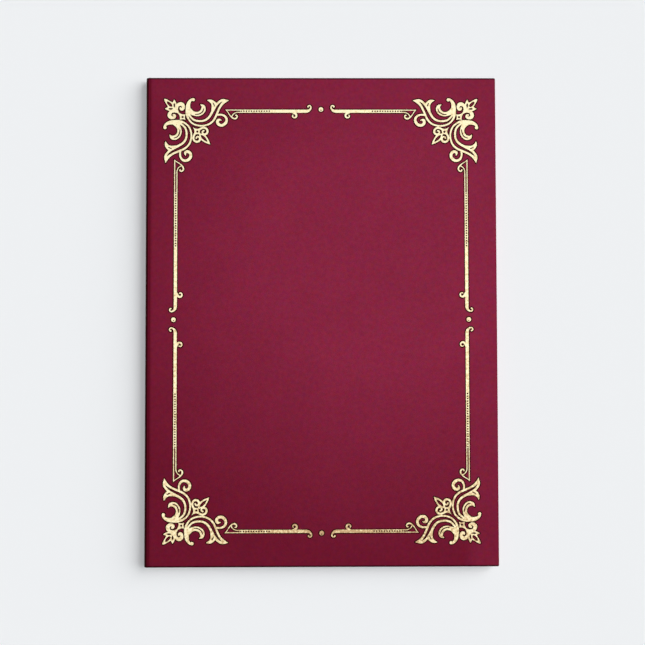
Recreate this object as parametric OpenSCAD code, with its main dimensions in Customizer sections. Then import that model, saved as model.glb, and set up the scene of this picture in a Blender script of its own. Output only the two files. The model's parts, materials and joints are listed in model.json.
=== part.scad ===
// Certificate holder: a leatherette folder with a gold foil border on its front.
// It lies closed on its back. X runs from the spine to the fore edge, Y from tail to head,
// and Z up through the covers. The origin is the middle of the back cover's outer face.

/* [Certificate] */
// Width of the sheet that the holder is made for
sheet_w = 210; // [190:1:300]
// Height of the sheet
sheet_h = 297; // [270:1:420]
// Room at each side of the sheet
sheet_side_room = 0.95; // [0.5:0.05:3]
// Room above and below the sheet
sheet_end_room = 2.5; // [1:0.5:6]

/* [Cover] */
// Thickness of the leatherette skin
skin_t = 0.4; // [0.3:0.05:0.7]
// Thickness of the greyboard in each cover
board_t = 1.8; // [1.4:0.1:3]
// Radius on the turned edges of the covers
edge_r = 0.9; // [0.5:0.1:1.2]
// Radius on the fore-edge corners, seen from the front
corner_r = 0.8; // [0.4:0.1:2]
// How far the skin is turned in over the inside of its board
turn_in = 15; // [8:1:20]
// Outer radius of the two rounded folds beside the spine
fold_r = 2.9; // [2.2:0.1:3.6]
// Gap between the two inside faces when the holder is closed
closing_gap = 0.3; // [0.25:0.05:1]

/* [Inside] */
// Thickness of the hinge liner
liner_t = 0.2; // [0.15:0.05:0.4]
// How far the hinge liner reaches over each board
liner_wing = 20; // [12:1:30]
// Distance from the head or tail of the cover to the end of the hinge liner
liner_inset = 4; // [2:0.5:8]
// Thickness of the card that carries each lining
card_t = 0.5; // [0.3:0.1:1]
// Thickness of the moire lining
lining_t = 0.2; // [0.15:0.05:0.5]
// Leatherette left bare round the three outer sides of each panel
panel_margin = 4; // [3:0.5:8]
// Leatherette left bare between the fold and each panel
hinge_margin = 4; // [3:0.5:8]
// Thickness of the clear film over the sheet
film_t = 0.1; // [0.1:0.05:0.3]

/* [Ribbons] */
// Width of the satin corner ribbon
ribbon_w = 12; // [6:1:25]
// Thickness of the ribbon
ribbon_t = 0.2; // [0.15:0.05:0.4]
// Distance along each panel edge from its corner to the middle of the ribbon
ribbon_leg = 45; // [30:1:60]
// Depth to which a ribbon's end is tucked behind the card
ribbon_tuck = 10; // [6:1:16]

/* [Foil border] */
// Thickness of the gold foil
foil_t = 0.08; // [0.05:0.01:0.15]
// Width and height of each corner scroll
scroll_w = 42.5; // [30:0.5:50]
// Distance from the sides of the cover to the corner scrolls
scroll_side_inset = 10.2; // [8:0.1:16]
// Distance from the head and tail of the cover to the corner scrolls
scroll_end_inset = 12.6; // [8:0.1:16]
// Distance from the sides of the cover to the middle of the long rules
rule_side_inset = 19.2; // [17:0.1:24]
// Distance from the head and tail of the cover to the middle of the short rules
rule_end_inset = 22; // [17:0.1:26]
// How far the tip of a rule reaches in beside the corner scroll
rule_reach = 2.1; // [0:0.1:4]
// Width of a rule
rule_w = 2.2; // [1.6:0.1:3]
// Width of the two lines that border the open part of a rule
line_w = 0.78; // [0.4:0.02:0.9]
// Distance from the middle of the cover to the end curl of the short rules
short_rule_start = 5.7; // [4:0.1:10]
// Distance from the middle of the cover to the end curl of the long rules
long_rule_start = 4.5; // [4:0.1:10]
// Size of the scroll where a rule forks beside the corner
fork_w = 8; // [6:0.5:10]
// Size of the curl at a rule's inner end
curl_w = 4; // [3:0.5:5]
// Distance along a rule from its end curl to the small side curl
side_curl_offset = 11.1; // [8:0.1:16]
// Spacing of the round beads in a rule, before they are spread to fill their stretch
bead_pitch = 1.56; // [1.2:0.02:2.4]
// Diameter of a bead, as drawn
bead_d = 0.8; // [0.5:0.02:1.1]
// Diameter of the dot in the middle of each side
dot_d = 3.1; // [2:0.1:5]
// Diameter of the dimple in a dot, as drawn
dimple_d = 0.6; // [0.4:0.1:1]
// How far a dot stands outside the middle line of its rules
dot_offset = 1.15; // [0:0.05:3]
// How far the foil's edge stays inside the drawn shapes, so that it doesn't fill their slots
foil_setback = 0.12; // [0:0.01:0.15]
// How far the stamped border sits above the middle of the cover
border_lift = 0.4; // [0:0.1:2]

/* [Hidden] */

// Plan of the covers and panels
cover_w = fold_r + liner_t + hinge_margin + sheet_w + 2 * sheet_side_room + panel_margin;
cover_h = sheet_h + 2 * sheet_end_room + 2 * panel_margin;
spine_x = -cover_w / 2;
fore_x = cover_w / 2;
head_y = cover_h / 2;
fold_x = spine_x + fold_r;
board_x = fold_x + liner_t;
panel_left = board_x + hinge_margin;
panel_right = fore_x - panel_margin;
panel_top = head_y - panel_margin;

// Levels of the layers, from the back cover's outer face up
board_z = skin_t;
turn_in_z = board_z + board_t;
cover_t = turn_in_z + skin_t;
tail_z = cover_t + liner_t;
back_card_z = tail_z + ribbon_t;
back_lining_z = back_card_z + card_t;
film_z = back_lining_z + lining_t;
ribbon_z = film_z + film_t;
back_t = ribbon_z + ribbon_t;
front_t = tail_z + card_t + lining_t;
closed_t = back_t + closing_gap + front_t;

// Overrun of every cut, and the width that closes hairline cracks in the foil
overrun = 1;
foil_closing = foil_t / 2;
// Steps in a rounded edge, and in one stretch of a drawn curve
edge_steps = 6;
curve_steps = 2;
// Facets of a full round
round_fn = 64;
small_fn = 12;

// Outline of the corner scroll, in shares of scroll_w from its inner corner. The scroll is
// the same on both sides of its diagonal, so each list is drawn once and mirrored. A stroke's
// points are [across, up, width].
crescent_shares = [[0.953, 0.530, 0.054], [0.953, 0.556, 0.040], [0.930, 0.583, 0.046],
    [0.897, 0.600, 0.056], [0.860, 0.608, 0.066], [0.820, 0.608, 0.076], [0.787, 0.594, 0.094],
    [0.764, 0.564, 0.078], [0.744, 0.525, 0.066], [0.735, 0.480, 0.068], [0.742, 0.437, 0.072],
    [0.767, 0.400, 0.075], [0.800, 0.380, 0.075], [0.835, 0.379, 0.066], [0.862, 0.392, 0.046],
    [0.882, 0.428, 0.006]];
outer_line_shares = [[0.810, 0.622, 0.048], [0.755, 0.624, 0.048], [0.700, 0.617, 0.040],
    [0.660, 0.600, 0.031], [0.620, 0.571, 0.029], [0.590, 0.535, 0.029], [0.570, 0.490, 0.029],
    [0.559, 0.440, 0.029], [0.558, 0.390, 0.029], [0.565, 0.345, 0.029], [0.580, 0.300, 0.031],
    [0.605, 0.260, 0.032], [0.640, 0.227, 0.033], [0.680, 0.202, 0.034], [0.720, 0.185, 0.034],
    [0.760, 0.168, 0.034], [0.800, 0.151, 0.034], [0.840, 0.131, 0.035], [0.880, 0.105, 0.038],
    [0.915, 0.073, 0.045], [0.936, 0.035, 0.038], [0.942, 0.000, 0.010]];
second_line_shares = [[0.760, 0.605, 0.050], [0.720, 0.590, 0.036], [0.695, 0.571, 0.031],
    [0.665, 0.545, 0.031], [0.645, 0.515, 0.032], [0.634, 0.480, 0.033], [0.629, 0.440, 0.033],
    [0.630, 0.400, 0.033], [0.640, 0.360, 0.034], [0.662, 0.320, 0.036], [0.695, 0.288, 0.037],
    [0.735, 0.263, 0.038], [0.780, 0.241, 0.042], [0.820, 0.222, 0.045], [0.860, 0.197, 0.042],
    [0.895, 0.168, 0.038], [0.925, 0.133, 0.038], [0.942, 0.095, 0.042], [0.944, 0.055, 0.036],
    [0.941, 0.015, 0.015]];
big_spiral_shares = [[0.722, 0.180, 0.032], [0.726, 0.130, 0.031], [0.723, 0.100, 0.032],
    [0.706, 0.061, 0.036], [0.675, 0.037, 0.040], [0.640, 0.031, 0.042], [0.603, 0.045, 0.047],
    [0.574, 0.075, 0.047], [0.565, 0.108, 0.046], [0.573, 0.142, 0.046], [0.597, 0.164, 0.047],
    [0.625, 0.168, 0.046], [0.647, 0.152, 0.044], [0.648, 0.127, 0.028], [0.642, 0.108, 0.012]];
leaf_top_shares = [[0.760, 0.262], [0.800, 0.262], [0.840, 0.258], [0.870, 0.260], [0.895, 0.270],
    [0.918, 0.290], [0.934, 0.315], [0.945, 0.328]];
leaf_side_shares = [[0.945, 0.328], [0.954, 0.305], [0.957, 0.275], [0.950, 0.243],
    [0.932, 0.214], [0.905, 0.186]];
leaf_root_shares = [[0.850, 0.190], [0.780, 0.230]];
crescent_vein_shares = [[0.729, 0.500, 0.006], [0.730, 0.470, 0.011], [0.738, 0.440, 0.012],
    [0.752, 0.412, 0.012], [0.775, 0.388, 0.012], [0.815, 0.374, 0.008]];
leaf_vein_shares = [[0.855, 0.213, 0.006], [0.875, 0.220, 0.012], [0.900, 0.233, 0.008]];
bud_spiral_shares = [[0.768, 0.862, 0.050], [0.744, 0.882, 0.056], [0.713, 0.888, 0.060],
    [0.692, 0.876, 0.058], [0.679, 0.852, 0.052], [0.681, 0.826, 0.046], [0.695, 0.807, 0.046],
    [0.716, 0.811, 0.042], [0.722, 0.827, 0.032]];
side_leaf_left_shares = [[0.770, 0.860], [0.780, 0.893], [0.793, 0.922], [0.806, 0.947],
    [0.818, 0.957]];
side_leaf_right_shares = [[0.818, 0.957], [0.828, 0.940], [0.838, 0.918], [0.850, 0.900],
    [0.800, 0.820]];
side_slit_shares = [[0.815, 0.900], [0.806, 0.884], [0.804, 0.866], [0.807, 0.849],
    [0.814, 0.836], [0.822, 0.849], [0.825, 0.866], [0.824, 0.884], [0.815, 0.900]];
// Halves of shapes that the diagonal splits: these lists start and end on it
outer_leaf_half_shares = [[0.820, 0.820], [0.825, 0.880], [0.845, 0.913], [0.870, 0.927],
    [0.900, 0.945], [0.930, 0.961], [0.955, 0.968], [0.966, 0.966]];
outer_leaf_hole_half_shares = [[0.850, 0.850], [0.846, 0.864], [0.856, 0.884], [0.877, 0.905],
    [0.902, 0.921], [0.923, 0.923]];
diamond_side_half_shares = [[0.640, 0.640], [0.651, 0.665], [0.654, 0.690], [0.650, 0.715],
    [0.641, 0.737]];
stem_half_shares = [[0.641, 0.737], [0.665, 0.732], [0.690, 0.733], [0.712, 0.740],
    [0.733, 0.752], [0.747, 0.770], [0.755, 0.795], [0.757, 0.820], [0.752, 0.845],
    [0.770, 0.880], [0.830, 0.900], [0.860, 0.860]];
inner_star_half_shares = [[0.430, 0.430], [0.430, 0.470], [0.422, 0.515], [0.440, 0.520],
    [0.470, 0.514], [0.500, 0.519], [0.525, 0.533], [0.552, 0.552]];
inner_leaf_half_shares = [[0.273, 0.273], [0.280, 0.295], [0.292, 0.330], [0.310, 0.366],
    [0.330, 0.397], [0.350, 0.422], [0.400, 0.440], [0.450, 0.450]];
inner_leaf_hole_half_shares = [[0.318, 0.318], [0.325, 0.338], [0.340, 0.365], [0.362, 0.390],
    [0.388, 0.409], [0.408, 0.416], [0.416, 0.416]];
inner_spiral_shares = [[0.435, 0.505, 0.034], [0.405, 0.522, 0.034], [0.365, 0.528, 0.036],
    [0.332, 0.512, 0.033], [0.316, 0.482, 0.036], [0.322, 0.450, 0.036], [0.345, 0.431, 0.034],
    [0.375, 0.433, 0.030], [0.393, 0.452, 0.028], [0.390, 0.474, 0.028], [0.371, 0.484, 0.028]];
// Middles of the two round holes on the diagonal, and their diameter, as shares of scroll_w
diamond_hole_share = 0.690;
star_hole_share = 0.469;
hole_share = 0.029;

// The fork of a rule, in shares of fork_w from its tip: back along the rule, and inward
fork_shares = [[0.00, 0.01, 0.04], [0.16, 0.16, 0.09], [0.26, 0.32, 0.09], [0.35, 0.46, 0.10],
    [0.47, 0.60, 0.12], [0.62, 0.71, 0.14], [0.77, 0.74, 0.15], [0.89, 0.68, 0.14],
    [0.94, 0.57, 0.13], [0.90, 0.48, 0.13], [0.83, 0.47, 0.13]];
// The inner line's bend into the fork. It starts in the middle of that line, at bend_share
bend_shares = [[0.71, 0.31, 0.09], [0.59, 0.42, 0.10], [0.53, 0.53, 0.10], [0.50, 0.63, 0.10]];
bend_share = 0.92;
// The curls, in shares of curl_w: along the rule from its start, and outward from its middle
end_curl_shares = [[0.95, 0.00, 0.55], [0.55, 0.08, 0.46], [0.27, 0.34, 0.31], [0.17, 0.64, 0.27],
    [0.29, 0.86, 0.25], [0.52, 0.89, 0.25], [0.64, 0.72, 0.31]];
side_curl_shares = [[0.30, -0.16, 0.40], [-0.14, -0.40, 0.40], [-0.29, -0.65, 0.35],
    [-0.24, -0.90, 0.32], [-0.02, -1.04, 0.29], [0.22, -0.98, 0.27], [0.35, -0.78, 0.25],
    [0.25, -0.60, 0.19]];
// Where the beads start and end along a rule, as shares of its length from its start
short_bead_share = 0.478;
short_open_share = 0.831;
long_bead_share = 0.427;
long_open_share = 0.785;

// A block between two opposite corners
module block(low, high) {
  translate(low) cube(high - low);
}

// Points of a quarter round about a middle, from angle start on
function quarter(middle, r, start) =
    [for (k = [0 : edge_steps])
        middle + r * [cos(start + 90 * k / edge_steps), sin(start + 90 * k / edge_steps)]];

// Outline of a w by h rectangle from 0, with its right corners rounded, and all four if both
function rounded(w, h, r, both) = concat(
    quarter([w - r, r], r, -90),
    quarter([w - r, h - r], r, 0),
    both ? quarter([r, h - r], r, 90) : [[0, h]],
    both ? quarter([r, r], r, 180) : [[0, 0]]);

// One point of a smooth curve through a list, a share t of the way from point i to the next
function curve_point(p, i, t) =
    let (a = p[max(i - 1, 0)], b = p[i], c = p[i + 1], d = p[min(i + 2, len(p) - 1)])
    (2 * b + (c - a) * t + (2 * a - 5 * b + 4 * c - d) * t * t
        + (3 * b - a - 3 * c + d) * t * t * t) / 2;
function curve(p) = concat(
    [for (i = [0 : len(p) - 2]) for (k = [0 : curve_steps - 1]) curve_point(p, i, k / curve_steps)],
    [p[len(p) - 1]]);

// A point on one side of a stroke's middle line
function stroke_side(path, i, side) =
    let (a = path[max(i - 1, 0)], b = path[min(i + 1, len(path) - 1)], way = [b.x - a.x, b.y - a.y])
    [path[i].x, path[i].y] + side * path[i].z / 2 * [-way.y, way.x] / norm(way);

// A smooth stroke of changing width with round ends
module stroke(shares, size) {
  path = size * curve(shares);
  for (i = [0 : len(path) - 2])
    polygon([stroke_side(path, i, 1), stroke_side(path, i + 1, 1),
             stroke_side(path, i + 1, -1), stroke_side(path, i, -1)]);
  for (tip = [path[0], path[len(path) - 1]])
    translate([tip.x, tip.y]) circle(d = tip.z, $fn = small_fn);
}

// A closed shape from the half on one side of the diagonal
module diagonal_shape(half) {
  far = [for (i = [len(half) - 1 : -1 : 0]) [half[i].y, half[i].x]];
  polygon(scroll_w * concat(half, far));
}

// Children as drawn and mirrored over the diagonal
module both_sides() {
  children();
  mirror([1, -1, 0]) children();
}

// Children mirrored into one quarter of the cover: side_x and side_y are 1 or -1
module quarter_of_cover(side_x, side_y) {
  mirror([side_x < 0 ? 1 : 0, 0, 0]) mirror([0, side_y < 0 ? 1 : 0, 0]) children();
}

// Children turned over from the back cover to the front cover
module on_front() {
  translate([0, 0, closed_t]) mirror([0, 0, 1]) children();
}

// Foil of the given outline on the front cover, with its strokes fused
module foil() {
  color("palegoldenrod") translate([0, border_lift, closed_t]) linear_extrude(foil_t)
    offset(delta = -foil_closing - foil_setback) offset(delta = foil_closing) children();
}

// The outer shape of one wrapped cover, rounded on its three free edges
module wrapped_cover() {
  intersection() {
    translate([fold_x, head_y, 0]) rotate([90, 0, 0])
      linear_extrude(cover_h) polygon(rounded(fore_x - fold_x, cover_t, edge_r, false));
    translate([fold_x, -head_y, 0]) rotate([90, 0, 90])
      linear_extrude(fore_x - fold_x) polygon(rounded(cover_h, cover_t, edge_r, true));
    translate([fold_x, -head_y, 0])
      linear_extrude(cover_t) polygon(rounded(fore_x - fold_x, cover_h, corner_r, false));
  }
}

// The skin of one cover: wrapped round the board and turned in on three sides
module cover_skin() {
  color("maroon") difference() {
    wrapped_cover();
    block([fold_x - overrun, -head_y + skin_t, board_z], [fore_x - skin_t, head_y - skin_t, turn_in_z]);
    block([fold_x - overrun, -head_y + turn_in, board_z],
          [fore_x - turn_in, head_y - turn_in, cover_t + overrun]);
  }
}

module board() {
  color("tan")
    block([board_x, -head_y + skin_t, board_z], [fore_x - skin_t, head_y - skin_t, turn_in_z]);
}

// Cross-section of the hinge liner along the cover, as [height, along]. It lies on a base at
// height low, and steps up at both ends over a turned-in edge of the skin.
module liner_section(low) {
  inner = head_y - turn_in;
  outer = head_y - liner_inset;
  step = skin_t;
  polygon([[low, -inner], [low, inner], [low + step, inner], [low + step, outer],
           [low + step + liner_t, outer], [low + step + liner_t, inner - liner_t],
           [low + liner_t, inner - liner_t], [low + liner_t, -inner + liner_t],
           [low + step + liner_t, -inner + liner_t], [low + step + liner_t, -outer],
           [low + step, -outer], [low + step, -inner]]);
}

// The wing of the hinge liner that lies on a board, with its leg down the board's edge
module hinge_liner() {
  color("darkred") {
    translate([fold_x, 0, 0]) rotate([0, -90, 0]) mirror([0, 0, 1])
      linear_extrude(liner_wing) liner_section(turn_in_z);
    block([fold_x, -head_y + liner_inset, board_z], [board_x, head_y - liner_inset, turn_in_z]);
  }
}

// Cross-section of the skin where no board lies, as [depth, along], with its two turned ends
module open_skin_section() {
  polygon([[0, -head_y], [2 * skin_t, -head_y], [2 * skin_t, -head_y + turn_in],
           [skin_t, -head_y + turn_in], [skin_t, head_y - turn_in],
           [2 * skin_t, head_y - turn_in], [2 * skin_t, head_y], [0, head_y]]);
}

// A quarter turn of a section round the fold beside the back cover
module fold() {
  translate([fold_x, 0, fold_r]) rotate([90, 0, 0]) rotate([0, 0, 180])
    rotate_extrude(angle = 90, $fn = round_fn) translate([fold_r, 0]) mirror([1, 0]) children();
}

// A flat stretch of a section along the spine
module along_spine() {
  translate([spine_x, 0, fold_r]) linear_extrude(closed_t - 2 * fold_r) children();
}

module fold_skin() { color("maroon") fold() open_skin_section(); }
module fold_liner() { color("darkred") fold() liner_section(skin_t); }

// A rectangle over the panel at a level
module panel(low, t) {
  block([panel_left, -panel_top, low], [panel_right, panel_top, low + t]);
}

// One corner ribbon: a band across the panel's corner, its folds over two edges of the card,
// and its two ends tucked back behind the card
module ribbon(side_x, side_y) {
  half = ribbon_w / sqrt(2);
  near = ribbon_leg - half;
  far = ribbon_leg + half;
  corner_x = side_x < 0 ? -panel_left : panel_right;
  color("ivory") quarter_of_cover(side_x, side_y) translate([corner_x, panel_top, 0])
    mirror([1, 0, 0]) mirror([0, 1, 0]) {
      translate([0, 0, ribbon_z]) linear_extrude(ribbon_t)
        polygon([[-ribbon_t, near], [-ribbon_t, far], [0, far], [far, 0], [far, -ribbon_t],
                 [near, -ribbon_t], [near, 0], [0, near]]);
      both_sides() {
        block([near, -ribbon_t, tail_z], [far, 0, back_t]);
        translate([0, 0, tail_z]) linear_extrude(ribbon_t)
          polygon([[near, -ribbon_t], [near, 0], [near + ribbon_tuck, ribbon_tuck],
                   [far + ribbon_tuck, ribbon_tuck], [far, 0], [far, -ribbon_t]]);
      }
    }
}

// All that lies on one side of the corner scroll's diagonal
module scroll_half() {
  for (shares = [crescent_shares, outer_line_shares, second_line_shares, big_spiral_shares,
                 bud_spiral_shares, inner_spiral_shares])
    stroke(shares, scroll_w);
  polygon(scroll_w * concat(curve(leaf_top_shares), curve(leaf_side_shares), leaf_root_shares));
  polygon(scroll_w * concat(curve(side_leaf_left_shares), curve(side_leaf_right_shares)));
}

module scroll_outline() {
  difference() {
    union() {
      both_sides() scroll_half();
      diagonal_shape(curve(outer_leaf_half_shares));
      diagonal_shape(concat(curve(diamond_side_half_shares), curve(stem_half_shares)));
      diagonal_shape(curve(inner_star_half_shares));
      diagonal_shape(curve(inner_leaf_half_shares));
    }
    both_sides() {
      for (shares = [crescent_vein_shares, leaf_vein_shares]) stroke(shares, scroll_w);
      polygon(scroll_w * curve(side_slit_shares));
    }
    diagonal_shape(curve(outer_leaf_hole_half_shares));
    diagonal_shape(curve(inner_leaf_hole_half_shares));
    for (share = [diamond_hole_share, star_hole_share])
      translate(scroll_w * [share, share]) circle(d = scroll_w * hole_share, $fn = small_fn);
  }
}

module foil_corner(side_x, side_y) {
  foil() quarter_of_cover(side_x, side_y)
    translate([fore_x - scroll_side_inset - scroll_w, head_y - scroll_end_inset - scroll_w])
      scroll_outline();
}

// Half of a rule along +X: its middle line is Y = 0, and +Y is outward on the cover
module half_rule(start, tip, bead_share, open_share) {
  bead_x = start + bead_share * (tip - start);
  open_x = start + open_share * (tip - start);
  beads = round((open_x - bead_x) / bead_pitch);
  pitch = (open_x - bead_x) / beads;
  line_y = (rule_w - line_w) / 2;
  bend = [bend_share, (rule_w / 2 + line_y) / fork_w, line_w / fork_w];
  difference() {
    translate([start + curl_w * end_curl_shares[0].x, -rule_w / 2])
      square([open_x - start - curl_w * end_curl_shares[0].x, rule_w]);
    for (k = [0.5 : beads])
      translate([open_x - k * pitch, 0]) circle(d = bead_d, $fn = small_fn);
  }
  translate([open_x - overrun, line_y - line_w / 2])
    polygon([[0, 0], [tip - open_x + overrun - line_w, 0], [tip - open_x + overrun, line_w],
             [0, line_w]]);
  translate([open_x - overrun, -line_y - line_w / 2])
    square([tip - bend_share * fork_w - open_x + overrun, line_w]);
  translate([tip, rule_w / 2]) mirror([1, 0]) mirror([0, 1]) {
    stroke(fork_shares, fork_w);
    stroke(concat([bend], bend_shares), fork_w);
  }
  translate([start, 0]) stroke(end_curl_shares, curl_w);
  translate([start + side_curl_offset, 0]) stroke(side_curl_shares, curl_w);
}

module foil_rule_along_x(side) {
  tip = fore_x - scroll_side_inset - scroll_w + rule_reach;
  foil() for (way = [-1, 1]) quarter_of_cover(way, side)
    translate([0, head_y - rule_end_inset])
      half_rule(short_rule_start, tip, short_bead_share, short_open_share);
}

module foil_rule_along_y(side) {
  tip = head_y - scroll_end_inset - scroll_w + rule_reach;
  foil() for (way = [-1, 1]) quarter_of_cover(side, way)
    translate([fore_x - rule_side_inset, 0]) mirror([1, -1, 0])
      half_rule(long_rule_start, tip, long_bead_share, long_open_share);
}

module dot(x, y) {
  translate([x, y]) difference() {
    circle(d = dot_d, $fn = round_fn / 2);
    translate([0, -dimple_d]) circle(d = dimple_d, $fn = small_fn);
  }
}

module back_cover_skin() { cover_skin(); }
module back_board() { board(); }
module back_hinge_liner() { hinge_liner(); }
module back_panel_card() { color("wheat") panel(back_card_z, card_t); }
module back_panel_lining() { color("ivory") panel(back_lining_z, lining_t); }
module clear_film() {
  middle = (panel_left + panel_right) / 2;
  color("lightcyan", 0.4)
    block([middle - sheet_w / 2, -sheet_h / 2, film_z], [middle + sheet_w / 2, sheet_h / 2, ribbon_z]);
}
module ribbon_top_left() { ribbon(-1, 1); }
module ribbon_top_right() { ribbon(1, 1); }
module ribbon_bottom_left() { ribbon(-1, -1); }
module ribbon_bottom_right() { ribbon(1, -1); }
module back_fold_skin() { fold_skin(); }
module back_fold_liner() { fold_liner(); }
module spine_skin() { color("maroon") along_spine() open_skin_section(); }
module spine_liner() { color("darkred") along_spine() liner_section(skin_t); }
module front_fold_skin() { on_front() fold_skin(); }
module front_fold_liner() { on_front() fold_liner(); }
module front_cover_skin() { on_front() cover_skin(); }
module front_board() { on_front() board(); }
module front_hinge_liner() { on_front() hinge_liner(); }
module front_panel_card() { color("wheat") on_front() panel(tail_z, card_t); }
module front_panel_lining() { color("ivory") on_front() panel(tail_z + card_t, lining_t); }
module foil_corner_top_left() { foil_corner(-1, 1); }
module foil_corner_top_right() { foil_corner(1, 1); }
module foil_corner_bottom_left() { foil_corner(-1, -1); }
module foil_corner_bottom_right() { foil_corner(1, -1); }
module foil_rule_top() { foil_rule_along_x(1); }
module foil_rule_bottom() { foil_rule_along_x(-1); }
module foil_rule_left() { foil_rule_along_y(-1); }
module foil_rule_right() { foil_rule_along_y(1); }
module foil_dots() {
  foil() for (side = [-1, 1]) {
    dot(side * (fore_x - rule_side_inset + dot_offset), 0);
    dot(0, side * (head_y - rule_end_inset + dot_offset));
  }
}

back_cover_skin();
back_board();
back_hinge_liner();
back_panel_card();
back_panel_lining();
clear_film();
ribbon_top_left();
ribbon_top_right();
ribbon_bottom_left();
ribbon_bottom_right();
back_fold_skin();
back_fold_liner();
spine_skin();
spine_liner();
front_fold_skin();
front_fold_liner();
front_cover_skin();
front_board();
front_hinge_liner();
front_panel_card();
front_panel_lining();
foil_corner_top_left();
foil_corner_top_right();
foil_corner_bottom_left();
foil_corner_bottom_right();
foil_rule_top();
foil_rule_bottom();
foil_rule_left();
foil_rule_right();
foil_dots();
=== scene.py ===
# %% [markdown]
# # Certificate holder in burgundy leatherette with a gold scroll border
# A folder for one A4 certificate. Two boards are wrapped in leatherette and joined by a soft spine.
# Inside, two cards carry ivory moire, and four satin ribbons and a clear film hold the certificate.
# The CAD solids are the frame: they say where each piece is, and every new piece sits where they say.

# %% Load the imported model
import json
from math import cos, radians, sin, tau

import bmesh
import bpy
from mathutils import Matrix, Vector

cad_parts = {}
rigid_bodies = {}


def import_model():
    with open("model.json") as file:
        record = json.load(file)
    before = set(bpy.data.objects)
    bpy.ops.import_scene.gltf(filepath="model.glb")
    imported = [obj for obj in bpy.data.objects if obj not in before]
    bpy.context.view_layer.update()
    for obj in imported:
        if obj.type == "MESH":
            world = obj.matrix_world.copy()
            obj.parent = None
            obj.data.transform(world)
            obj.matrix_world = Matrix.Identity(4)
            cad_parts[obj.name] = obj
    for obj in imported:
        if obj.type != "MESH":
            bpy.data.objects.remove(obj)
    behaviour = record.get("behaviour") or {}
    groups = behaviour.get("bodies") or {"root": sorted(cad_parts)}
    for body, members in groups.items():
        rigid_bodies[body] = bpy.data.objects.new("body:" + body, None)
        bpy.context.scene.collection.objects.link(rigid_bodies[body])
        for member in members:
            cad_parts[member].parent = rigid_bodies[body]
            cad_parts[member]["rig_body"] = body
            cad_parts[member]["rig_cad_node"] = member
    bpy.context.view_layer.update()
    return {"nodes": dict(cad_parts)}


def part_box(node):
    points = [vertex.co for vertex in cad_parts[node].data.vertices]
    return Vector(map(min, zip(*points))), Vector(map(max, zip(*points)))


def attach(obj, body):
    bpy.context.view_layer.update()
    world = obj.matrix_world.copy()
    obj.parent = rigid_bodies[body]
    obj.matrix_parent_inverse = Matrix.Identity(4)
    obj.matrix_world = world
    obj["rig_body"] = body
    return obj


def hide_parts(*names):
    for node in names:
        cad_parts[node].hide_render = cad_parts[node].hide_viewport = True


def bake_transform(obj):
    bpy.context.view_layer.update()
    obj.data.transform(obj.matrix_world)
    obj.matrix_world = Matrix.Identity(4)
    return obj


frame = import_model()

MM = 0.001  # the frame is in metres, and a bookbinder's sizes are in millimetres

# %% [markdown]
# ## Small helpers
# Colours are written as on a colour card, in sRGB hex, and a shader wants them linear.
# A material is a chain of nodes, so one function adds a node with its settings and its links.
# An operator acts on whatever is selected, so selecting is done by functions too, by place.


# %% Colour and node helpers
def linear(hex_text):
    """An sRGB hex colour as the linear colour that a shader reads."""
    shares = [int(hex_text[i:i + 2], 16) / 255 for i in (1, 3, 5)]
    return tuple(s / 12.92 if s <= 0.04045 else ((s + 0.055) / 1.055) ** 2.4 for s in shares) + (1.0,)


def add_node(tree, kind, inputs=None, stops=None, **settings):
    """Adds one node. Inputs are numbers, colours or (node, output) links. Stops are a ramp's colours."""
    node = tree.nodes.new(kind)
    for name, value in settings.items():
        setattr(node, name, value)
    for name, value in (inputs or {}).items():
        if isinstance(value, tuple) and isinstance(value[0], bpy.types.Node):
            tree.links.new(value[0].outputs[value[1]], node.inputs[name])
        else:
            node.inputs[name].default_value = value
    if stops:
        ramp = node.color_ramp
        while len(ramp.elements) < len(stops):
            ramp.elements.new(1.0)
        for element, (place, colour) in zip(ramp.elements, stops):
            element.position, element.color = place, colour
    return node


def new_material(name):
    """An empty material with its output node, ready for a chain."""
    material = bpy.data.materials.new(name)
    material.use_nodes = True
    material.node_tree.nodes.clear()
    tree = material.node_tree
    return material, tree, add_node(tree, "ShaderNodeOutputMaterial")


def paint(pieces, material):
    """Gives each piece one material."""
    for piece in pieces:
        piece.data.materials.clear()
        piece.data.materials.append(material)
    print(f"{material.name}: {', '.join(piece.name for piece in pieces)}")


# %% Modelling helpers
NEAR = 0.01 * MM  # a point this close to a place is at that place


def deselect():
    """Leaves edit mode with nothing selected."""
    if bpy.context.mode != "OBJECT":
        bpy.ops.object.mode_set(mode="OBJECT")
    bpy.ops.object.select_all(action="DESELECT")


def select_only(piece):
    """Leaves edit mode with one piece selected."""
    deselect()
    piece.select_set(True)
    bpy.context.view_layer.objects.active = piece


def edit(piece, kind="FACE", action="DESELECT"):
    """Opens one piece in edit mode, with nothing selected in it, or all of it."""
    select_only(piece)
    bpy.ops.object.mode_set(mode="EDIT")
    bpy.ops.mesh.select_mode(type=kind)
    bpy.ops.mesh.select_all(action=action)


def pick(piece, kind, wanted):
    """Selects the faces, edges or vertices whose place is wanted. A face brings its normal too."""
    bpy.ops.mesh.select_mode(type=kind)
    bpy.ops.mesh.select_all(action="DESELECT")
    mesh = bmesh.from_edit_mesh(piece.data)
    if kind == "FACE":
        found = [f for f in mesh.faces if wanted(f.calc_center_median(), f.normal)]
    elif kind == "EDGE":
        found = [e for e in mesh.edges if wanted(e.verts[0].co, e.verts[1].co)]
    else:
        found = [v for v in mesh.verts if wanted(v.co)]
    for part in found:
        part.select_set(True)
    bmesh.update_edit_mesh(piece.data)
    return len(found)


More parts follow.
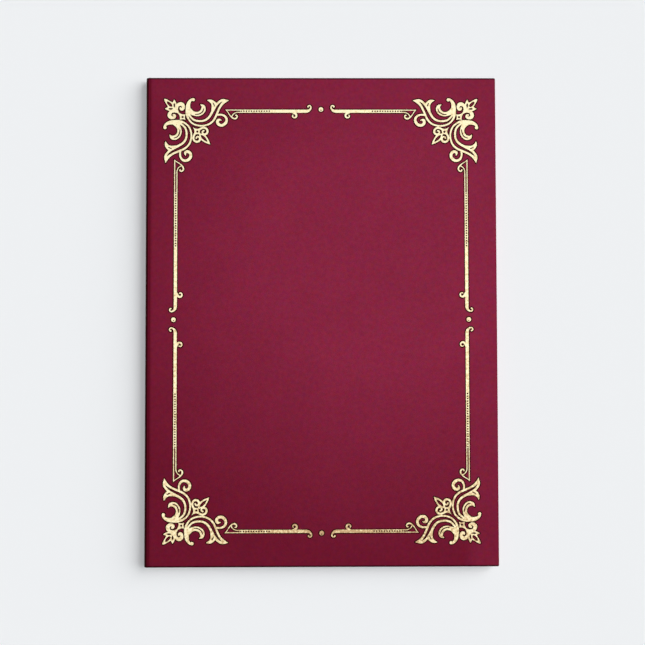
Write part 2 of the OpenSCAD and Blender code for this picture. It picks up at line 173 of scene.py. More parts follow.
def add_wall(piece, thickness, offset, **settings):
    """Gives a bare surface its thickness. Offset -1 grows it inwards, and 0 to both sides."""
    wall = piece.modifiers.new("wall", "SOLIDIFY")
    wall.thickness, wall.offset = thickness, offset
    for name, value in settings.items():
        setattr(wall, name, value)
    select_only(piece)
    bpy.ops.object.modifier_apply(modifier=wall.name)


def name_piece(name):
    """Names the primitive that was just added, and puts its place and size into its mesh."""
    piece = bpy.context.active_object
    piece.name = piece.data.name = name
    bpy.ops.object.transform_apply(location=True, rotation=True, scale=True)
    return piece


def smooth(piece, angle=35):
    """Shades a piece smooth, apart from edges sharper than the angle."""
    select_only(piece)
    bpy.ops.object.shade_smooth_by_angle(angle=radians(angle))


def finish(piece, body, slot, *nodes):
    """Lets a piece ride on its body, in the place of the CAD nodes it stands for, and prints its size."""
    if body:
        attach(piece, body)
    if nodes:
        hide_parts(*nodes)
    size = [round(side / MM, 1) for side in piece.dimensions]
    print(f"{piece.name}: {size} mm, {len(piece.data.polygons)} faces, for {', '.join(nodes) or 'no node'}")
    return piece


# %% [markdown]
# ## Sizes from the frame
# A wrapped cover is easiest to understand from its layers. Each size below is read from a CAD node's box,
# and not typed, so that the leatherette, the boards and the linings stay face to face.

# %% Read the layers
back_low, back_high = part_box("back_cover_skin")
front_low, front_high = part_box("front_cover_skin")
fold_low, fold_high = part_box("front_fold_skin")
spine_low, spine_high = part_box("spine_skin")
PANEL_LOW, PANEL_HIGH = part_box("back_panel_lining")
board_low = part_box("front_board")[0]
liner_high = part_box("spine_liner")[1]

SPINE_X, FOLD_X, FORE_X = spine_low.x, fold_high.x, front_high.x
HEAD_Y, TAIL_Y = front_high.y, front_low.y
CLOSED_T = front_high.z
FOLD_R = fold_high.x - fold_low.x
SKIN_T = board_low.z - front_low.z  # the turned-in skin under the board is one skin thick
LINER_T = liner_high.x - spine_high.x
print("fold radius", round(FOLD_R / MM, 2), "skin", round(SKIN_T / MM, 2), "liner", round(LINER_T / MM, 2))

# %% [markdown]
# ## Camera
# The photograph looks almost straight down on the closed holder, from about 0.7 m over its face. A camera
# could be set by eye, but a flat rectangle gives more: the lens, the place and the small tilt were worked
# out from the cover's four corners.

# %% Camera
CAMERA_AT = (-6.4 * MM, -30.6 * MM, 700 * MM)
CAMERA_TURN = (radians(2.41), radians(-0.59), radians(-0.08))
SENSOR_MM, LENS_MM = 36, 61.12
bpy.ops.object.camera_add(location=CAMERA_AT)
camera = bpy.context.active_object
camera.name = "camera_over_cover"
camera.rotation_mode = "ZYX"
camera.rotation_euler = CAMERA_TURN
camera.data.sensor_width, camera.data.lens = SENSOR_MM, LENS_MM
bpy.context.scene.camera = camera
print("camera looks down from", [round(v / MM) for v in camera.location], "mm")

# %% [markdown]
# ## Floor
# The holder lies on plain pale paper. One large plane with a matte shader is enough, and it keeps the
# shadow. Its colour alone makes the background pale, so no light is spent on it.

# %% Floor
FLOOR_SIDE = 8.0
FLOOR_DROP = 0.15 * MM  # the foil lies on the floor when the holder is open, so the floor is just below it
PALE_PAPER = "#EFF1F3"
bpy.ops.mesh.primitive_plane_add(size=FLOOR_SIDE, location=(0, 0, -FLOOR_DROP))
floor = bpy.context.active_object
floor.name = "floor"
paper, tree, out = new_material("floor_pale_paper")
matte = add_node(tree, "ShaderNodeBsdfDiffuse", {"Color": linear(PALE_PAPER)})
tree.links.new(matte.outputs[0], out.inputs["Surface"])
paint([floor], paper)

# %% [markdown]
# ## Lamps and world
# The shadow is dark and wide beside the spine, softer below the tail, and missing at the right and at the
# top. So there are two soft sources: a panel straight overhead, and a wide one from the upper right. Area
# lamps would fall off over the floor. Sun lamps with wide disks give the same shadows, and the pale floor
# keeps one tone all over. The world is dim for the object, and pale where it is seen or mirrored.


# %% Lamps
def soft_sun(name, turn, height, energy, disk):
    """A sun lamp. Turn is degrees from the right towards the head, height is degrees above the floor."""
    deselect()
    bpy.ops.object.light_add(type="SUN")
    lamp = bpy.context.active_object
    lamp.name = name
    lamp.rotation_mode = "XYZ"
    lamp.rotation_euler = (0, radians(90 - height), radians(turn))
    lamp.data.energy, lamp.data.angle = energy, radians(disk)
    print(name, "energy", energy, "disk", disk, "degrees")


soft_sun("key_wide_upper_right", turn=21, height=33, energy=3.14, disk=60)
soft_sun("panel_overhead", turn=0, height=88, energy=1.32, disk=26)

# %% World
ROOM_STRENGTH = 0.037  # with the two lamps, a colour that lies flat renders as it is written
world = bpy.data.worlds.new("studio")
bpy.context.scene.world = world
world.use_nodes = True
world.node_tree.nodes.clear()
tree = world.node_tree
paths = add_node(tree, "ShaderNodeLightPath")
clear = add_node(tree, "ShaderNodeMath", {0: (paths, "Is Camera Ray"), 1: (paths, "Is Transmission Ray")},
                 operation="MAXIMUM")
seen = add_node(tree, "ShaderNodeMath", {0: (clear, 0), 1: (paths, "Is Glossy Ray")}, operation="MAXIMUM")
room = add_node(tree, "ShaderNodeBackground", {"Color": linear("#E6E9EC"), "Strength": ROOM_STRENGTH})
backdrop = add_node(tree, "ShaderNodeBackground", {"Color": linear(PALE_PAPER), "Strength": 1.0})
around = add_node(tree, "ShaderNodeMixShader", {0: (seen, 0), 1: (room, 0), 2: (backdrop, 0)})
add_node(tree, "ShaderNodeOutputWorld", {"Surface": (around, 0)})
bpy.context.scene.view_settings.view_transform = "Standard"
print("world strength", ROOM_STRENGTH)

# %% [markdown]
# ## Leatherette: the coloured coat, with painted light and shade
# The cover is bookbinder's leatherette: a paper or cloth base with a coloured, embossed coat. The coat is
# faintly cloudy at two sizes, where it is thicker. Its colour also carries painted light: it is lightest a
# little above the middle of the cover and darkens outwards as painted shade, most at the tail, and less along
# the fore edge and the head, where the light from the upper right falls. One colour would look like plastic,
# and a painted map would need unwrapping. Distance from one place and two soft noises fit every side, in
# real sizes.

# %% Coat
PAINTED_LIGHT_AT = (36 * MM, 42 * MM)  # painted light: the coat's colour is lightest here
PAINTED_LIGHT_R, PAINTED_SHADE_R = 72 * MM, 192 * MM  # painted light is full out to the first distance, and painted shade is deepest from the second on
LIT_EDGE_SHARE = 0.38  # along the fore edge and the head, where the light from the upper right falls, the painted shade is less by this share
FORE_STRIP, HEAD_STRIP = (22 * MM, 14 * MM), (30 * MM, 10 * MM)  # how far in that begins, and is whole
CLOUD_SIZE, DRIFT_SIZE = 2.4 * MM, 28 * MM
CLOUD_RGB = (0.6, 1.3, 1.1)  # how far each channel of the colour strays with the clouds
DRIFT_SHARE = 1 / 6  # the wide drifts are as strong as this share of the clouds
NOISE_LOW, NOISE_HIGH = 0.3, 0.7  # noise stays mostly between these


def coat(tree, place, split, deep, full, cloud):
    """The coat's colour: its full tone as painted light round one place, its deep tone as painted shade further
    out, and its clouds.
    """
    # painted light and shade: the colour is full round the painted light's place and deepens with the distance
    # from it
    middle = add_node(tree, "ShaderNodeMapping",
                      {"Vector": (place, "Object"), "Location": (*PAINTED_LIGHT_AT, 0.0)}, vector_type="TEXTURE")
    flat = add_node(tree, "ShaderNodeVectorMath", {0: (middle, 0), 1: (1.0, 1.0, 0.0)},
                    operation="MULTIPLY")
    far = add_node(tree, "ShaderNodeVectorMath", {0: (flat, 0)}, operation="LENGTH")
    share = add_node(tree, "ShaderNodeMapRange", {"Value": (far, "Value"), "From Min": PAINTED_LIGHT_R,
                                                  "From Max": PAINTED_SHADE_R})
    # the fore edge and the head face the light from the upper right, so they get less of the painted shade
    near_fore, near_head = (
        add_node(tree, "ShaderNodeMapRange", {"Value": (split, axis), "From Min": edge - begins,
                                              "From Max": edge - whole, "To Max": LIT_EDGE_SHARE})
        for axis, edge, (begins, whole) in (("X", FORE_X, FORE_STRIP), ("Y", HEAD_Y, HEAD_STRIP)))
    lit_edge = add_node(tree, "ShaderNodeMath", {0: (near_fore, 0), 1: (near_head, 0)}, operation="MAXIMUM")
    kept = add_node(tree, "ShaderNodeMath", {0: 1.0, 1: (lit_edge, 0)}, operation="SUBTRACT")
    depth = add_node(tree, "ShaderNodeMath", {0: (share, 0), 1: (kept, 0)}, operation="MULTIPLY")
    broad = add_node(tree, "ShaderNodeMix", {0: (depth, 0), 6: linear(full), 7: linear(deep)},
                     data_type="RGBA")
    clouds = add_node(tree, "ShaderNodeTexNoise", {"Vector": (place, "Object"), "Scale": 1 / CLOUD_SIZE,
                                                   "Detail": 3.0, "Roughness": 0.7})
    cloudy = add_node(tree, "ShaderNodeMapRange",
                      {"Vector": (clouds, "Color"), 7: (NOISE_LOW,) * 3, 8: (NOISE_HIGH,) * 3,
                       9: tuple(1 - cloud * s for s in CLOUD_RGB),
                       10: tuple(1 + cloud * s for s in CLOUD_RGB)},
                      data_type="FLOAT_VECTOR")
    drifts = add_node(tree, "ShaderNodeTexNoise", {"Vector": (place, "Object"), "Scale": 1 / DRIFT_SIZE,
                                                   "Detail": 2.0})
    drifting = add_node(tree, "ShaderNodeMapRange",
                        {"Value": (drifts, "Fac"), "From Min": NOISE_LOW, "From Max": NOISE_HIGH,
                         "To Min": 1 - cloud * DRIFT_SHARE, "To Max": 1 + cloud * DRIFT_SHARE})
    tone = add_node(tree, "ShaderNodeVectorMath", {0: (broad, 2), 1: (cloudy, "Vector")},
                    operation="MULTIPLY")
    return add_node(tree, "ShaderNodeVectorMath", {0: (tone, 0), "Scale": (drifting, 0)}, operation="SCALE")


print("coat: clouds", round(CLOUD_SIZE / MM, 1), "mm, drifts", round(DRIFT_SIZE / MM), "mm")

# %% [markdown]
# ## Leatherette: painted shade at folds and rims
# The colour carries painted shade where the surface turns away from the light. The folds are darker, and
# more so the groove where a board begins. The rim of a cover is darker between its two faces, and the last
# millimetre at head and tail is too, but less at the fore edge, which faces the light. Shade could be found
# from how hollow the surface is, but an export loses that. Each of these marks follows one straight edge, so
# a ramp over one coordinate draws it.

# %% Painted shade marks
EDGE_R = 0.9 * MM  # a cover's edges are rounded by this much
# Each pair is a distance from the spine in mm and how much of the tone the painted shade of the folds leaves
# there.
CREASE_SHADE = [(0.0, 0.6), (0.3, 0.22), (1.5, 0.25), (2.0, 0.88), (2.7, 0.59), (3.4, 0.76), (4.2, 0.96),
          (5.2, 1.0)]
CREASE_SHADE_REACH = 8 * MM
CREASE_SHADE_RGB = (1, 2, 1.7)  # the painted shade takes more of the green and the blue: these are powers of what is left
RIM_NEAR, RIM_FAR, RIM_SHADE_LEFT = 0.9 * MM, 1.4 * MM, 0.45  # painted shade on the last millimetre at head and tail
FORE_LIT_SHARE = 0.75  # how much of the rim's painted shade the fore edge loses, as it faces the light
# Each pair is a height in mm from the middle of the closed holder and how much of the tone the painted shade on
# the rim leaves there.
# A cover's inner face is at 1.3 mm and its outer one at 3.9 mm.
COVER_RIM_SHADE = [(1.3, 1.0), (1.6, 1.0), (2.1, 0.55), (3.3, 0.4), (3.82, 0.4), (3.88, 0.5), (3.895, 1.0)]
PLAIN_EDGE = [(0.0, 1.0), (3.9, 1.0)]


def marks(tree, split, edge_stops):
    """What share of the coat's colour the painted shade leaves at each place."""
    lift = add_node(tree, "ShaderNodeMath", {0: (split, "Z"), 1: CLOSED_T / 2}, operation="SUBTRACT")
    height = add_node(tree, "ShaderNodeMath", {0: (lift, 0)}, operation="ABSOLUTE")
    height_share = add_node(tree, "ShaderNodeMath", {0: (height, 0), 1: CLOSED_T / 2}, operation="DIVIDE")
    # painted shade on the rounded rim, by the height
    edge = add_node(tree, "ShaderNodeValToRGB", {"Fac": (height_share, 0)},
                    stops=[(mm * MM / (CLOSED_T / 2), (left, left, left, 1)) for mm, left in edge_stops])
    # the fore edge faces the light, so much of the rim's painted shade is taken off there
    at_fore = add_node(tree, "ShaderNodeMapRange", {"Value": (split, "X"), "From Min": FORE_X - EDGE_R,
                                                    "From Max": FORE_X - EDGE_R / 2, "To Max": FORE_LIT_SHARE})
    light_shift = add_node(tree, "ShaderNodeMix", {0: (at_fore, 0), 6: (edge, "Color"), 7: (1, 1, 1, 1)},
                      data_type="RGBA")
    # painted shade of the folds and the hinge groove, by the distance from the spine
    across = add_node(tree, "ShaderNodeMapRange", {"Value": (split, "X"), "From Min": SPINE_X,
                                                   "From Max": SPINE_X + CREASE_SHADE_REACH})
    crease = add_node(tree, "ShaderNodeValToRGB", {"Fac": (across, 0)},
                      stops=[(mm * MM / CREASE_SHADE_REACH, tuple(left ** power for power in CREASE_SHADE_RGB) + (1,))
                             for mm, left in CREASE_SHADE])
    creased = add_node(tree, "ShaderNodeVectorMath", {0: (light_shift, 2), 1: (crease, "Color")},
                       operation="MULTIPLY")
    # painted shade on the last millimetre at head and tail
    side_way = add_node(tree, "ShaderNodeMath", {0: (split, "Y")}, operation="ABSOLUTE")
    from_end = add_node(tree, "ShaderNodeMath", {0: HEAD_Y, 1: (side_way, 0)}, operation="SUBTRACT")
    rim = add_node(tree, "ShaderNodeMapRange", {"Value": (from_end, 0), "From Min": RIM_NEAR,
                                                "From Max": RIM_FAR, "To Min": RIM_SHADE_LEFT})
    return add_node(tree, "ShaderNodeVectorMath", {0: (creased, 0), "Scale": (rim, 0)}, operation="SCALE")


print("marks:", len(CREASE_SHADE), "steps across the crease,", len(COVER_RIM_SHADE), "up the rim")

# %% [markdown]
# ## Leatherette: grain and gloss
# The coat is embossed with a fine pebble grain and has almost no gloss. The grain is far too fine to model,
# so it is a bump: small round cells with a little noise. A real grain is about 0.3 mm. The covers' is drawn
# at 0.45 mm, as coarse as it needs to show. The liner inside is a smoother leatherette.

# %% Leatherette
GRAIN_MM, SMOOTH_GRAIN_MM = 0.45, 0.30
FINE_SHARE = 1.6  # the noise in the grain is this much coarser than its cells
ROUGH_SPREAD = 0.06  # the noise moves the roughness by this much both ways


def leatherette(name, deep, full, cloud, edge_stops, grain_mm, grain_depth_mm, roughness):
    """A matte embossed leatherette, with painted light and shade in its colour. Edge stops say how much of its
    tone the painted shade on the rim leaves at each height, in mm.
    """
    material, tree, out = new_material(name)
    place = add_node(tree, "ShaderNodeTexCoord")
    split = add_node(tree, "ShaderNodeSeparateXYZ", {"Vector": (place, "Object")})
    clean = coat(tree, place, split, deep, full, cloud)
    left = marks(tree, split, edge_stops)
    colour = add_node(tree, "ShaderNodeVectorMath", {0: (clean, 0), 1: (left, 0)}, operation="MULTIPLY")
    cells = add_node(tree, "ShaderNodeTexVoronoi",
                     {"Vector": (place, "Object"), "Scale": 1 / (grain_mm * MM)}, feature="SMOOTH_F1")
    fine = add_node(tree, "ShaderNodeTexNoise", {"Vector": (place, "Object"),
                                                 "Scale": 1 / (FINE_SHARE * grain_mm * MM), "Detail": 3.0})
    pebbles = add_node(tree, "ShaderNodeMath", {0: (cells, "Distance"), 1: (fine, "Fac")}, operation="ADD")
    grain = add_node(tree, "ShaderNodeBump", {"Height": (pebbles, 0), "Strength": 0.6,
                                              "Distance": grain_depth_mm * MM})
    rough = add_node(tree, "ShaderNodeMapRange", {"Value": (fine, "Fac"),
                                                  "To Min": roughness - ROUGH_SPREAD,
                                                  "To Max": roughness + ROUGH_SPREAD})
    shader = add_node(tree, "ShaderNodeBsdfPrincipled",
                      {"Base Color": (colour, 0), "Roughness": (rough, 0), "Normal": (grain, 0),
                       "IOR": 1.5, "Specular IOR Level": 0.03})
    tree.links.new(shader.outputs[0], out.inputs["Surface"])
    return material


# deep is the coat's colour in the painted shade, and full is its colour in the painted light
EMBOSSED = dict(deep="#681129", full="#82213D", cloud=0.2, grain_mm=GRAIN_MM, grain_depth_mm=0.08,
                roughness=0.6)
SMOOTH = dict(deep="#6A1730", full="#792039", cloud=0.04, grain_mm=SMOOTH_GRAIN_MM, grain_depth_mm=0.02,
              roughness=0.5)
cover_leatherette = leatherette("burgundy_leatherette_embossed", edge_stops=COVER_RIM_SHADE, **EMBOSSED)
spine_leatherette = leatherette("burgundy_leatherette_creased", edge_stops=PLAIN_EDGE, **EMBOSSED)
liner_leatherette = leatherette("burgundy_leatherette_smooth", edge_stops=PLAIN_EDGE, **SMOOTH)
print("leatherette: grain", GRAIN_MM, "and", SMOOTH_GRAIN_MM, "mm")

# %% [markdown]
# ## Greyboard and card
# The boards are grey millboard, pressed from waste pulp, and the cards under the linings are uncoated cream
# card. Both are seen only where nothing covers them. One flat colour would look like plastic there. Pulp is
# matte and has no direction, so one noise at the size of a fleck gives its two tones and its tooth.


# %% Greyboard and card
def board_paper(name, ground, fleck, fleck_mm):
    """Uncoated pulp board with fibres in two tones."""
    material, tree, out = new_material(name)
    place = add_node(tree, "ShaderNodeTexCoord")
    pulp = add_node(tree, "ShaderNodeTexNoise", {"Vector": (place, "Object"), "Scale": 1 / (fleck_mm * MM),
                                                 "Detail": 6.0, "Roughness": 0.7})
    colour = add_node(tree, "ShaderNodeValToRGB", {"Fac": (pulp, "Fac")},
                      stops=[(0.35, linear(fleck)), (0.55, linear(ground))])
    tooth = add_node(tree, "ShaderNodeBump", {"Height": (pulp, "Fac"), "Strength": 0.4,
                                              "Distance": 0.03 * MM})
    shader = add_node(tree, "ShaderNodeBsdfPrincipled",
                      {"Base Color": (colour, 0), "Roughness": 0.9, "Normal": (tooth, 0),
                       "Specular IOR Level": 0.2})
    tree.links.new(shader.outputs[0], out.inputs["Surface"])
    return material


greyboard = board_paper("greyboard_pulp", ground="#A39A8B", fleck="#8A8174", fleck_mm=1.2)
cream_card = board_paper("cream_card_uncoated", ground="#E8DEC8", fleck="#D9CDB4", fleck_mm=0.8)
paint([frame["nodes"][n] for n in ("back_board", "front_board")], greyboard)
paint([frame["nodes"][n] for n in ("back_panel_card", "front_panel_card")], cream_card)

# %% [markdown]
# ## Moire lining
# Moire is a ribbed cloth pressed so hard that its ribs flatten in bands, which shine like wood grain. Plain
# stripes with some noise would look drawn. A sine of one stretched noise gives real bands: each time the
# noise rises or falls by a step a new band begins, so they close into flames and never cross. The ribs are
# a bump across the cloth, and the flattened bands are smoother.

# %% Moire lining
FLAME_W, FLAME_L = 11 * MM, 55 * MM
BAND_TURN = 46.0  # the sine turns by this many radians as the noise goes from 0 to 1: some seven bands
RIB = 0.55 * MM  # a grosgrain rib, with about 18 to the centimetre
moire, tree, out = new_material("ivory_moire_calendered")
place = add_node(tree, "ShaderNodeTexCoord")
stretch = add_node(tree, "ShaderNodeMapping", {"Vector": (place, "Object"),
                                               "Scale": (1 / FLAME_W, 1 / FLAME_L, 1 / FLAME_L)})
flow = add_node(tree, "ShaderNodeTexNoise", {"Vector": (stretch, 0), "Scale": 1.0, "Detail": 2.5,
                                             "Roughness": 0.45, "Distortion": 0.4})
turning = add_node(tree, "ShaderNodeMath", {0: (flow, "Fac"), 1: BAND_TURN}, operation="MULTIPLY")
bands = add_node(tree, "ShaderNodeMath", {0: (turning, 0)}, operation="SINE")
pressed_flat = add_node(tree, "ShaderNodeMapRange", {"Value": (bands, 0), "From Min": -1.0,
                                                     "From Max": 1.0})
water = add_node(tree, "ShaderNodeValToRGB", {"Fac": (pressed_flat, 0)},
                 stops=[(0.1, linear("#E1DAC6")), (0.6, linear("#E6E0CD")), (1.0, linear("#EBE6D6"))])
split = add_node(tree, "ShaderNodeSeparateXYZ", {"Vector": (place, "Object")})
turns = add_node(tree, "ShaderNodeMath", {0: (split, "Y"), 1: tau / RIB}, operation="MULTIPLY")
rib = add_node(tree, "ShaderNodeMath", {0: (turns, 0)}, operation="SINE")
ribs = add_node(tree, "ShaderNodeBump", {"Height": (rib, 0), "Strength": 0.5, "Distance": 0.03 * MM})
rough = add_node(tree, "ShaderNodeMapRange", {"Value": (pressed_flat, 0), "To Min": 0.62, "To Max": 0.38})
shader = add_node(tree, "ShaderNodeBsdfPrincipled",
                  {"Base Color": (water, 0), "Roughness": (rough, 0), "Normal": (ribs, 0),
                   "Sheen Weight": 0.15, "Specular IOR Level": 0.18})
tree.links.new(shader.outputs[0], out.inputs["Surface"])
print("moire: flames", round(FLAME_W / MM), "x", round(FLAME_L / MM), "mm, ribs", round(RIB / MM, 2), "mm")

# %% [markdown]
# ## Satin ribbon
# The ribbon is woven satin, whose long floats shine more one way than the other, with a flat woven selvedge
# along both edges. A fine wave across the ribbon is its weft, and the distance from its middle line finds
# the selvedge. That line is worked out from where the ribbon lies, so no unwrapping is needed.

# %% Satin ribbon
RIBBON_W, RIBBON_T, RIBBON_REACH = 12 * MM, 0.1 * MM, 45 * MM
SELVEDGE_FROM, SELVEDGE_TO = 5.0 * MM, 5.3 * MM  # from the middle line
WEFT, FLOAT_SIZE = 0.4 * MM, 6 * MM  # real weft is finer, and is drawn as coarse as it needs to show
PANEL_MIDDLE = (PANEL_LOW + PANEL_HIGH) / 2
# how far the middle of a ribbon is from the middle of the panel, across the ribbon
RIBBON_FROM_MIDDLE = (PANEL_HIGH.x - PANEL_MIDDLE.x + PANEL_HIGH.y - RIBBON_REACH) / 2 ** 0.5


def satin(name, slant):
    """Ivory satin whose weft runs across the ribbon, which lies at the slant in degrees."""
    material, tree, out = new_material(name)
    place = add_node(tree, "ShaderNodeTexCoord")
    along = add_node(tree, "ShaderNodeMapping",
                     {"Vector": (place, "Object"), "Rotation": (0, 0, radians(slant)),
                      "Location": (PANEL_MIDDLE.x, 0, 0)}, vector_type="TEXTURE")
    split = add_node(tree, "ShaderNodeSeparateXYZ", {"Vector": (along, 0)})
    from_panel = add_node(tree, "ShaderNodeMath", {0: (split, "Y")}, operation="ABSOLUTE")
    from_line = add_node(tree, "ShaderNodeMath", {0: (from_panel, 0), 1: RIBBON_FROM_MIDDLE},
                         operation="SUBTRACT")
    across = add_node(tree, "ShaderNodeMath", {0: (from_line, 0)}, operation="ABSOLUTE")
    selvedge = add_node(tree, "ShaderNodeMapRange", {"Value": (across, 0), "From Min": SELVEDGE_FROM,
                                                     "From Max": SELVEDGE_TO})
    turns = add_node(tree, "ShaderNodeMath", {0: (split, "X"), 1: tau / WEFT}, operation="MULTIPLY")
    weft = add_node(tree, "ShaderNodeMath", {0: (turns, 0)}, operation="SINE")
    floats = add_node(tree, "ShaderNodeTexNoise", {"Vector": (along, 0), "Scale": 1 / FLOAT_SIZE,
                                                   "Detail": 2.0})
    floating = add_node(tree, "ShaderNodeValToRGB", {"Fac": (floats, "Fac")},
                        stops=[(0.35, linear("#EDE8D8")), (0.65, linear("#F6F3E8"))])
    colour = add_node(tree, "ShaderNodeMix",
                      {0: (selvedge, 0), 6: (floating, "Color"), 7: linear("#D2CAB2")}, data_type="RGBA")
    bump = add_node(tree, "ShaderNodeBump", {"Height": (weft, 0), "Strength": 0.35, "Distance": 0.02 * MM})
    shader = add_node(tree, "ShaderNodeBsdfPrincipled",
                      {"Base Color": (colour, 2), "Roughness": 0.28, "Normal": (bump, 0),
                       "Sheen Weight": 0.2, "Specular IOR Level": 0.6, "Anisotropic": 0.5})
    tree.links.new(shader.outputs[0], out.inputs["Surface"])
    return material


satin_rising = satin("ivory_satin_rising", 45)
satin_falling = satin("ivory_satin_falling", -45)
print("satin: weft", round(WEFT / MM, 1), "mm, middle line", round(RIBBON_FROM_MIDDLE / MM, 1), "mm out")

# %% [markdown]
# ## Clear film
# A thin polypropylene film protects the certificate. Glass would bend the light and darken the cloth below,
# as a film this thin doesn't. So it lets light straight through and adds a faint soft gloss, which Fresnel
# raises at a low angle. It is kept fainter than on a taut film, because a loose one scatters its gloss.

# %% Clear film
FILM_IOR, LOOSE_SHARE = 1.49, 0.05  # and how much of a taut film's gloss a loose one keeps
film, tree, out = new_material("clear_film_polypropylene")
mirror = add_node(tree, "ShaderNodeFresnel", {"IOR": FILM_IOR})
mirror_share = add_node(tree, "ShaderNodeMath", {0: (mirror, 0), 1: LOOSE_SHARE}, operation="MULTIPLY")
through = add_node(tree, "ShaderNodeBsdfTransparent", {"Color": linear("#FEFFFF")})
gloss = add_node(tree, "ShaderNodeBsdfGlossy", {"Color": linear("#FFFFFF"), "Roughness": 0.25})
shader = add_node(tree, "ShaderNodeMixShader", {0: (mirror_share, 0), 1: (through, 0), 2: (gloss, 0)})
tree.links.new(shader.outputs[0], out.inputs["Surface"])
paint([frame["nodes"]["clear_film"]], film)

# %% [markdown]
# ## Gold foil
# The border is stamped with a hot die from pale gold foil, a metal layer under a tinted lacquer. It takes
# the leatherette's grain and breaks up in small patches where it holds less well. Its tone also carries a
# painted reflection of the light above, paler towards the head and darker towards the tail, and it is darker
# again round the middle of the tail. A pure metal would only mirror the room, so the foil is part metal and
# part lacquer. The CAD solids are exact enough to stay, and only get this material.

# %% Gold foil
PATCH_SIZE = 1.5 * MM
# A painted reflection that grows away from the tail, and a darker patch round the tail's middle: each is a
# centre, from how near to how far, and what it adds to the shine.
PAINTED_REFLECTION = (FORE_X / 2, TAIL_Y, 0), (20 * MM, 360 * MM), (-0.08, 0.1)
TAIL_MIDDLE_DARKER = (0, TAIL_Y, 0), (35 * MM, 80 * MM), (-0.12, 0.0)
foil, tree, out = new_material("gold_foil_hot_stamped")
place = add_node(tree, "ShaderNodeTexCoord")
patches = add_node(tree, "ShaderNodeTexNoise", {"Vector": (place, "Object"), "Scale": 1 / PATCH_SIZE,
                                                "Detail": 4.0, "Roughness": 0.6})
shine = patches
# a painted reflection, paler away from the tail, and a darker patch round the tail's middle, both added to the
# shine
for mark_at, (near, far), (at_near, at_far) in (PAINTED_REFLECTION, TAIL_MIDDLE_DARKER):
    mark_centre = add_node(tree, "ShaderNodeMapping", {"Vector": (place, "Object"), "Location": mark_at},
                    vector_type="TEXTURE")
    from_mark = add_node(tree, "ShaderNodeVectorMath", {0: (mark_centre, 0)}, operation="LENGTH")
    light_shift = add_node(tree, "ShaderNodeMapRange", {"Value": (from_mark, "Value"), "From Min": near,
                                                   "From Max": far, "To Min": at_near, "To Max": at_far})
    shine = add_node(tree, "ShaderNodeMath", {0: (shine, 0), 1: (light_shift, 0)}, operation="ADD")
tone = add_node(tree, "ShaderNodeValToRGB", {"Fac": (shine, 0)},
                stops=[(0.30, linear("#9B7C52")), (0.43, linear("#C6B284")), (0.58, linear("#D9CEA7"))])
pebbles = add_node(tree, "ShaderNodeTexVoronoi",
                   {"Vector": (place, "Object"), "Scale": 1 / (GRAIN_MM * MM)}, feature="SMOOTH_F1")
grain = add_node(tree, "ShaderNodeBump", {"Height": (pebbles, "Distance"), "Strength": 0.35,
                                          "Distance": 0.03 * MM})
shader = add_node(tree, "ShaderNodeBsdfPrincipled",
                  {"Base Color": (tone, 0), "Metallic": 0.3, "Roughness": 0.45, "Normal": (grain, 0)})
tree.links.new(shader.outputs[0], out.inputs["Surface"])
foil_nodes = [frame["nodes"][n] for n in sorted(frame["nodes"]) if n.startswith("foil_")]
paint(foil_nodes, foil)
for node in foil_nodes:
    print(node.name, len(node.data.polygons), "triangles")

# %% [markdown]
# ## The two cover wraps
# Each cover is a board in a tray of leatherette: the skin goes over the face, round three edges and 15 mm
# in on the other side, where it is mitred at the corners. It could be folded from a sheet, but a box is
# quicker and as exact. Its edges are rounded, the side towards the spine is taken away, the inner face is
# inset to leave the turned-in rim, and the open shell gets the skin's thickness inwards.

# %% Cover wrap function
TURN_IN = 15 * MM
ROUND_STEPS = 5
MITRE_W, MITRE_DEPTH = 0.2 * MM, 0.15 * MM
END_WALL_Y = liner_high.y - 0.5 * MM  # the hinge liner hides the board's edge as far as this


def cover_wrap(name, low, high, inner_up, body, node):
    """Wraps one board. The inner face, with the turned-in rim, is the upper one if inner_up."""
    deselect()
    bpy.ops.mesh.primitive_cube_add(size=1, location=(low + high) / 2, scale=high - low)
    wrap = name_piece(name)
    edit(wrap, "EDGE")
    pick(wrap, "EDGE", lambda a, b: not (a.x < low.x + NEAR and b.x < low.x + NEAR)
         and not (abs(a.x - b.x) < NEAR and abs(a.y - b.y) < NEAR and a.x < low.x + NEAR))
    bpy.ops.mesh.bevel(offset=EDGE_R, segments=ROUND_STEPS, profile=0.5)
    pick(wrap, "FACE", lambda c, n: c.x < low.x + NEAR)
    bpy.ops.mesh.delete(type="FACE")
    inner = high.z if inner_up else low.z
    pick(wrap, "FACE", lambda c, n: abs(c.z - inner) < NEAR)
    bpy.ops.mesh.inset(thickness=TURN_IN - EDGE_R, use_boundary=False)
    bpy.ops.mesh.delete(type="FACE")
    mitres = pick(wrap, "EDGE", lambda a, b: abs(a.z - inner) < NEAR and abs(b.z - inner) < NEAR
                  and abs(a.x - b.x) > TURN_IN / 2 and abs(a.y - b.y) > TURN_IN / 2)
    bpy.ops.mesh.bevel(offset=MITRE_W, segments=2)
    pick(wrap, "VERT", lambda co: abs(co.z - inner) < NEAR
         and abs((high.x - co.x) - (high.y - abs(co.y))) < NEAR)
    bpy.ops.transform.translate(value=(0, 0, -MITRE_DEPTH if inner_up else MITRE_DEPTH))
    for end in (1, -1):  # the turned-in skin closes the board's end, where no liner covers it
        bpy.ops.mesh.select_all(action="SELECT")
        bpy.ops.mesh.bisect(plane_co=(0, end * END_WALL_Y, 0), plane_no=(0, 1, 0))
        pick(wrap, "VERT", lambda co: co.x < low.x + NEAR and co.y * end > END_WALL_Y - NEAR)
        bpy.ops.mesh.edge_face_add()
    print(name, "has", mitres, "mitred corners")
    add_wall(wrap, SKIN_T, -1, use_even_offset=True)
    smooth(wrap)
    return finish(wrap, body, "cover_leatherette", node)


